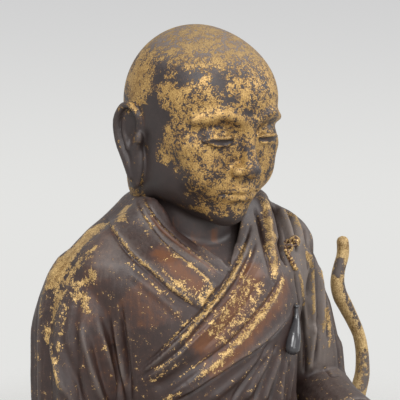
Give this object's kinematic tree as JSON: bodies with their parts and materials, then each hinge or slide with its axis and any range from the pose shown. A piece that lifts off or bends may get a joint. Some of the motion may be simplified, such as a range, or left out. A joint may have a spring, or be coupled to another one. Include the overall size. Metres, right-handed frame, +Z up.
{
  "type": "carved wooden figure",
  "caption": "Seated robed monk in gilded and lacquered wood, carved from dowelled blocks, with a plug-in head that lifts out of the collar; an ornament that rests on its flat underside.",
  "frame": {"origin": "on the underside, below the trunk's axis", "axes": "+Z up, the figure faces -Y, its left side is +X"},
  "size_m": [0.392, 0.296, 0.436],
  "materials": {
    "gilded_wood": "worn gold leaf over dark lacquer on carved wood",
    "lacquered_wood": "dark brown lacquer with traces of red ground and gold leaf",
    "bare_wood": "unfinished cypress, tool-marked",
    "bamboo": "split bamboo, unfinished",
    "iron": "hand-forged iron with dull brown oxide"
  },
  "bodies": {
    "figure": {"trunk_front": "lacquered_wood", "trunk_back": "lacquered_wood", "lap_block": "lacquered_wood", "left_shoulder_block": "lacquered_wood", "left_sleeve_block": "lacquered_wood", "left_hip_block": "lacquered_wood", "right_shoulder_block": "lacquered_wood", "right_sleeve_block": "lacquered_wood", "right_hip_block": "lacquered_wood", "left_hand": "gilded_wood", "right_hand": "gilded_wood", "floor_board": "bare_wood", "curled_tail": "gilded_wood", "robe_knot": "gilded_wood", "robe_tassel": "lacquered_wood", "trunk_dowel_low_left": "bare_wood", "trunk_dowel_high_left": "bare_wood", "shoulder_dowel_low_left": "bare_wood", "shoulder_dowel_high_left": "bare_wood", "elbow_dowel_left": "bare_wood", "lap_dowel_left": "bare_wood", "knee_dowel_left": "bare_wood", "hip_dowel_left": "bare_wood", "trunk_dowel_low_right": "bare_wood", "trunk_dowel_high_right": "bare_wood", "shoulder_dowel_low_right": "bare_wood", "shoulder_dowel_high_right": "bare_wood", "elbow_dowel_right": "bare_wood", "lap_dowel_right": "bare_wood", "knee_dowel_right": "bare_wood", "hip_dowel_right": "bare_wood", "board_nail_front_left": "bamboo", "board_nail_back_left": "bamboo", "board_nail_front_right": "bamboo", "board_nail_back_right": "bamboo", "lap_staple_left": "iron", "hip_staple_left": "iron", "lap_staple_right": "iron", "hip_staple_right": "iron"},
    "head": {"face_block": "gilded_wood", "skull_block": "gilded_wood", "head_dowel_upper": "bare_wood", "head_dowel_lower": "bare_wood"}
  },
  "joints": [
    {"name": "head_lift", "type": "slide", "parent": "figure", "child": "head", "axis": [0, 0, 1], "range_m": [0, 0.09]}
  ]
}
